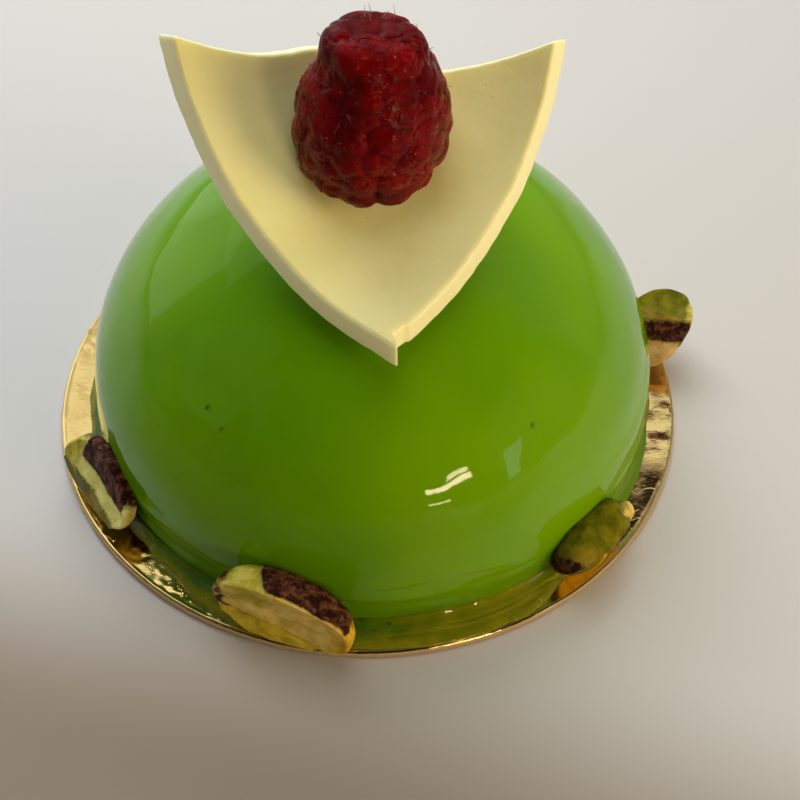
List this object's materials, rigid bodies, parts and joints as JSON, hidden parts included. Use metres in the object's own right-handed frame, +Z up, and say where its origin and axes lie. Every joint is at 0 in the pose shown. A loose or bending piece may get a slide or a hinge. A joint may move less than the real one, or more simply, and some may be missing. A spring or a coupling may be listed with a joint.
{
  "type": "green glazed dome cake",
  "caption": "Small green mirror-glazed dome cake on a round gold card, with pistachio halves round its foot and a curved white chocolate plaque carrying a raspberry.",
  "frame": {"origin": "centre of the gold card's underside, on the surface that the cake stands on", "axes": "+Z up, -Y towards the front of the cake, where the plaque's tip points, +X to the right seen from the front"},
  "size_m": [0.0829, 0.0824, 0.0624],
  "materials": {
    "gold_card": "gloss",
    "green_glaze": "gloss",
    "white_chocolate": "satin",
    "raspberry": "gloss",
    "pistachio": "matte"
  },
  "bodies": {
    "root": {"gold_card": "gold_card", "green_dome": "green_glaze", "chocolate_plaque": "white_chocolate", "raspberry": "raspberry", "pistachio_front": "pistachio", "pistachio_left": "pistachio", "pistachio_right": "pistachio", "pistachio_right_rear": "pistachio", "pistachio_rear": "pistachio", "pistachio_left_rear": "pistachio"}
  },
  "joints": []
}
